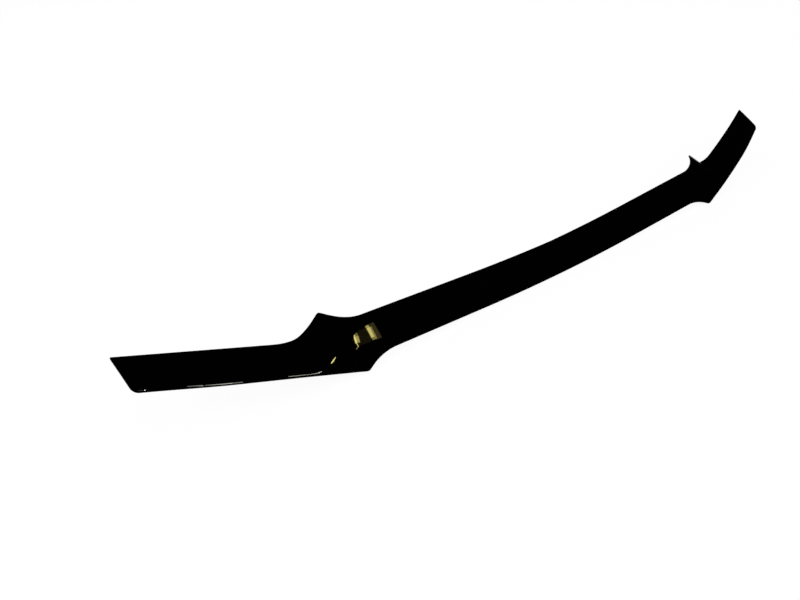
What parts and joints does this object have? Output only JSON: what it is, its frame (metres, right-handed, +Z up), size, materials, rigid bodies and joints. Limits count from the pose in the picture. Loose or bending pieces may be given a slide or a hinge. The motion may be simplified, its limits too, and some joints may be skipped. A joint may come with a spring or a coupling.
{
  "type": "hood bug deflector",
  "caption": "Wide formed sheet shield for a car hood's front edge, with pointed tips and tabs where the swept-back wings begin.",
  "frame": {"origin": "on the inner face of the sheet at the middle of the car, 14 mm up from the lower edge, where it lies against the hood's front edge", "axes": "+X across the car to its left side, -Y to the front of the car, +Z up"},
  "size_m": [1.4494, 0.1435, 0.0886],
  "materials": {
    "acrylic": "gloss black"
  },
  "bodies": {
    "root": {"shield": "acrylic"}
  },
  "joints": []
}
